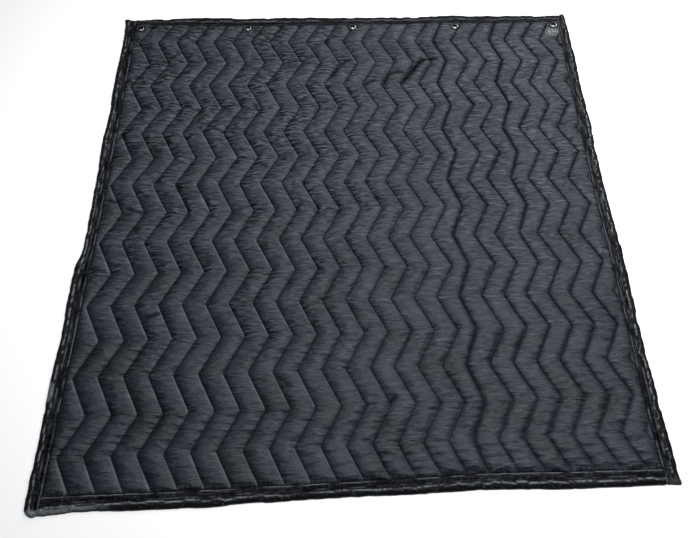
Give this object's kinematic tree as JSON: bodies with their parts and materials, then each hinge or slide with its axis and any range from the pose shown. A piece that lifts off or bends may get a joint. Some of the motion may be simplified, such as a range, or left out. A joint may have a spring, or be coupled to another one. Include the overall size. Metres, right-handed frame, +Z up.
{
  "type": "quilted sound dampening blanket with grommets",
  "caption": "Quilted sound dampening blanket with zigzag channels, taped edges and a row of metal grommets along one edge, lying face up.",
  "frame": {"origin": "middle of the underside of the blanket's box, on the surface it lies on", "axes": "+Z up out of the face that shows, +Y along the length towards the edge with the grommets, +X across to the right"},
  "size_m": [1.84, 2.05, 0.016],
  "materials": {
    "quilt_cloth": "charcoal woven polyester with pale slubs and a faint satin sheen",
    "binding_tape": "near-black woven binding tape, matte, puckered along its stitches",
    "grommet_metal": "nickel plate, polished"
  },
  "bodies": {
    "root": {"quilt_panel": "quilt_cloth", "grommet_band": "quilt_cloth", "binding_left": "binding_tape", "binding_right": "binding_tape", "binding_top": "binding_tape", "binding_bottom": "binding_tape", "grommet_1": "grommet_metal", "grommet_2": "grommet_metal", "grommet_3": "grommet_metal", "grommet_4": "grommet_metal", "grommet_5": "grommet_metal"}
  },
  "joints": []
}
